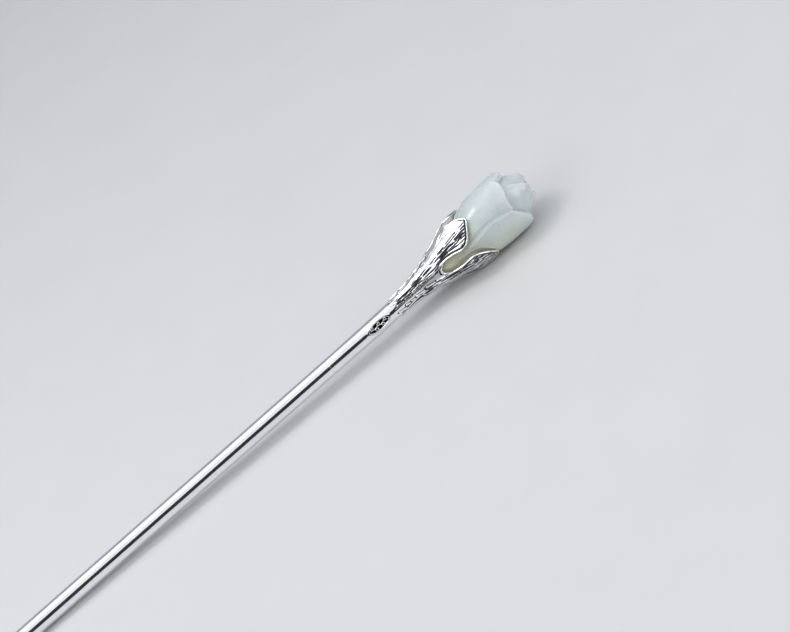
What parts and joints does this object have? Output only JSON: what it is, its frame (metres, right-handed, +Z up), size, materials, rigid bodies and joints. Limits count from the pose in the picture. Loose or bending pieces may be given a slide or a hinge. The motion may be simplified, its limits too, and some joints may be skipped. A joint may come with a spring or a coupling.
{
  "type": "decorative hair pin",
  "caption": "Slender round hair pin: a tapered polished shaft flares into a bark-textured leafy cup that clasps a carved stone flower bud.",
  "frame": {"origin": "centre of the pin's bounding box, on the floor that it lies on", "axes": "+X along the pin from its tip to its bud, +Z up from the floor"},
  "size_m": [0.15, 0.0108, 0.0109],
  "materials": {
    "polished_silver": "mirror-polished silver with faint handling scratches",
    "bark_silver": "cast silver with hammered bark grooves, bright ridges and darker hollows",
    "jade": "waxy polished translucent pale grey-green jade",
    "adhesive": "set clear-amber jeweller's glue"
  },
  "bodies": {
    "root": {"pin_shaft": "polished_silver", "neck_cup": "polished_silver", "sepal_front": "bark_silver", "sepal_right": "bark_silver", "sepal_back": "bark_silver", "sepal_left": "bark_silver", "bud_post": "polished_silver", "adhesive_bed": "adhesive", "jade_bud": "jade"}
  },
  "joints": []
}
